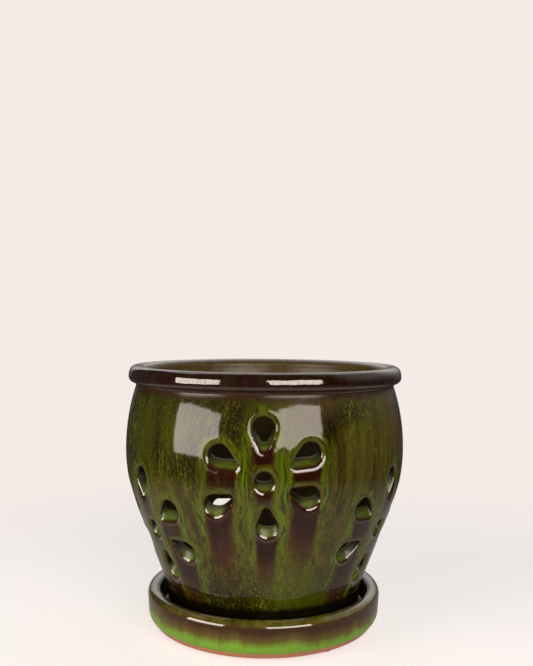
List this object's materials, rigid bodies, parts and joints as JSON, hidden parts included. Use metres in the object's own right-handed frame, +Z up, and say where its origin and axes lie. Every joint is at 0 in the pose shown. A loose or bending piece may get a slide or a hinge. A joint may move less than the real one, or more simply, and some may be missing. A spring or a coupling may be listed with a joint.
{
  "type": "orchid pot",
  "caption": "Round bulging orchid pot with flowers of drop-shaped air slots through its wall, a rolled rim and a separate round saucer.",
  "frame": {"origin": "centre of the base, on the surface that the pads stand on", "axes": "+Z up along the pot's axis, -Y towards the high flower of slots that is seen first"},
  "size_m": [0.165, 0.165, 0.1535],
  "materials": {
    "pot_glaze": "glossy glaze, mottled dark olive green with brown rim and brown runs under the slots",
    "saucer_glaze": "glossy glaze, brown lip running to bright green, bare clay at the base edge",
    "pad_rubber": "matte black"
  },
  "bodies": {
    "saucer": {"saucer": "saucer_glaze", "foot_pad_1": "pad_rubber", "foot_pad_2": "pad_rubber", "foot_pad_3": "pad_rubber"},
    "pot": {"pot": "pot_glaze"}
  },
  "joints": [
    {"name": "pot_lift", "type": "slide", "parent": "saucer", "child": "pot", "axis": [0, 0, 1], "range_m": [0, 0.06]}
  ]
}
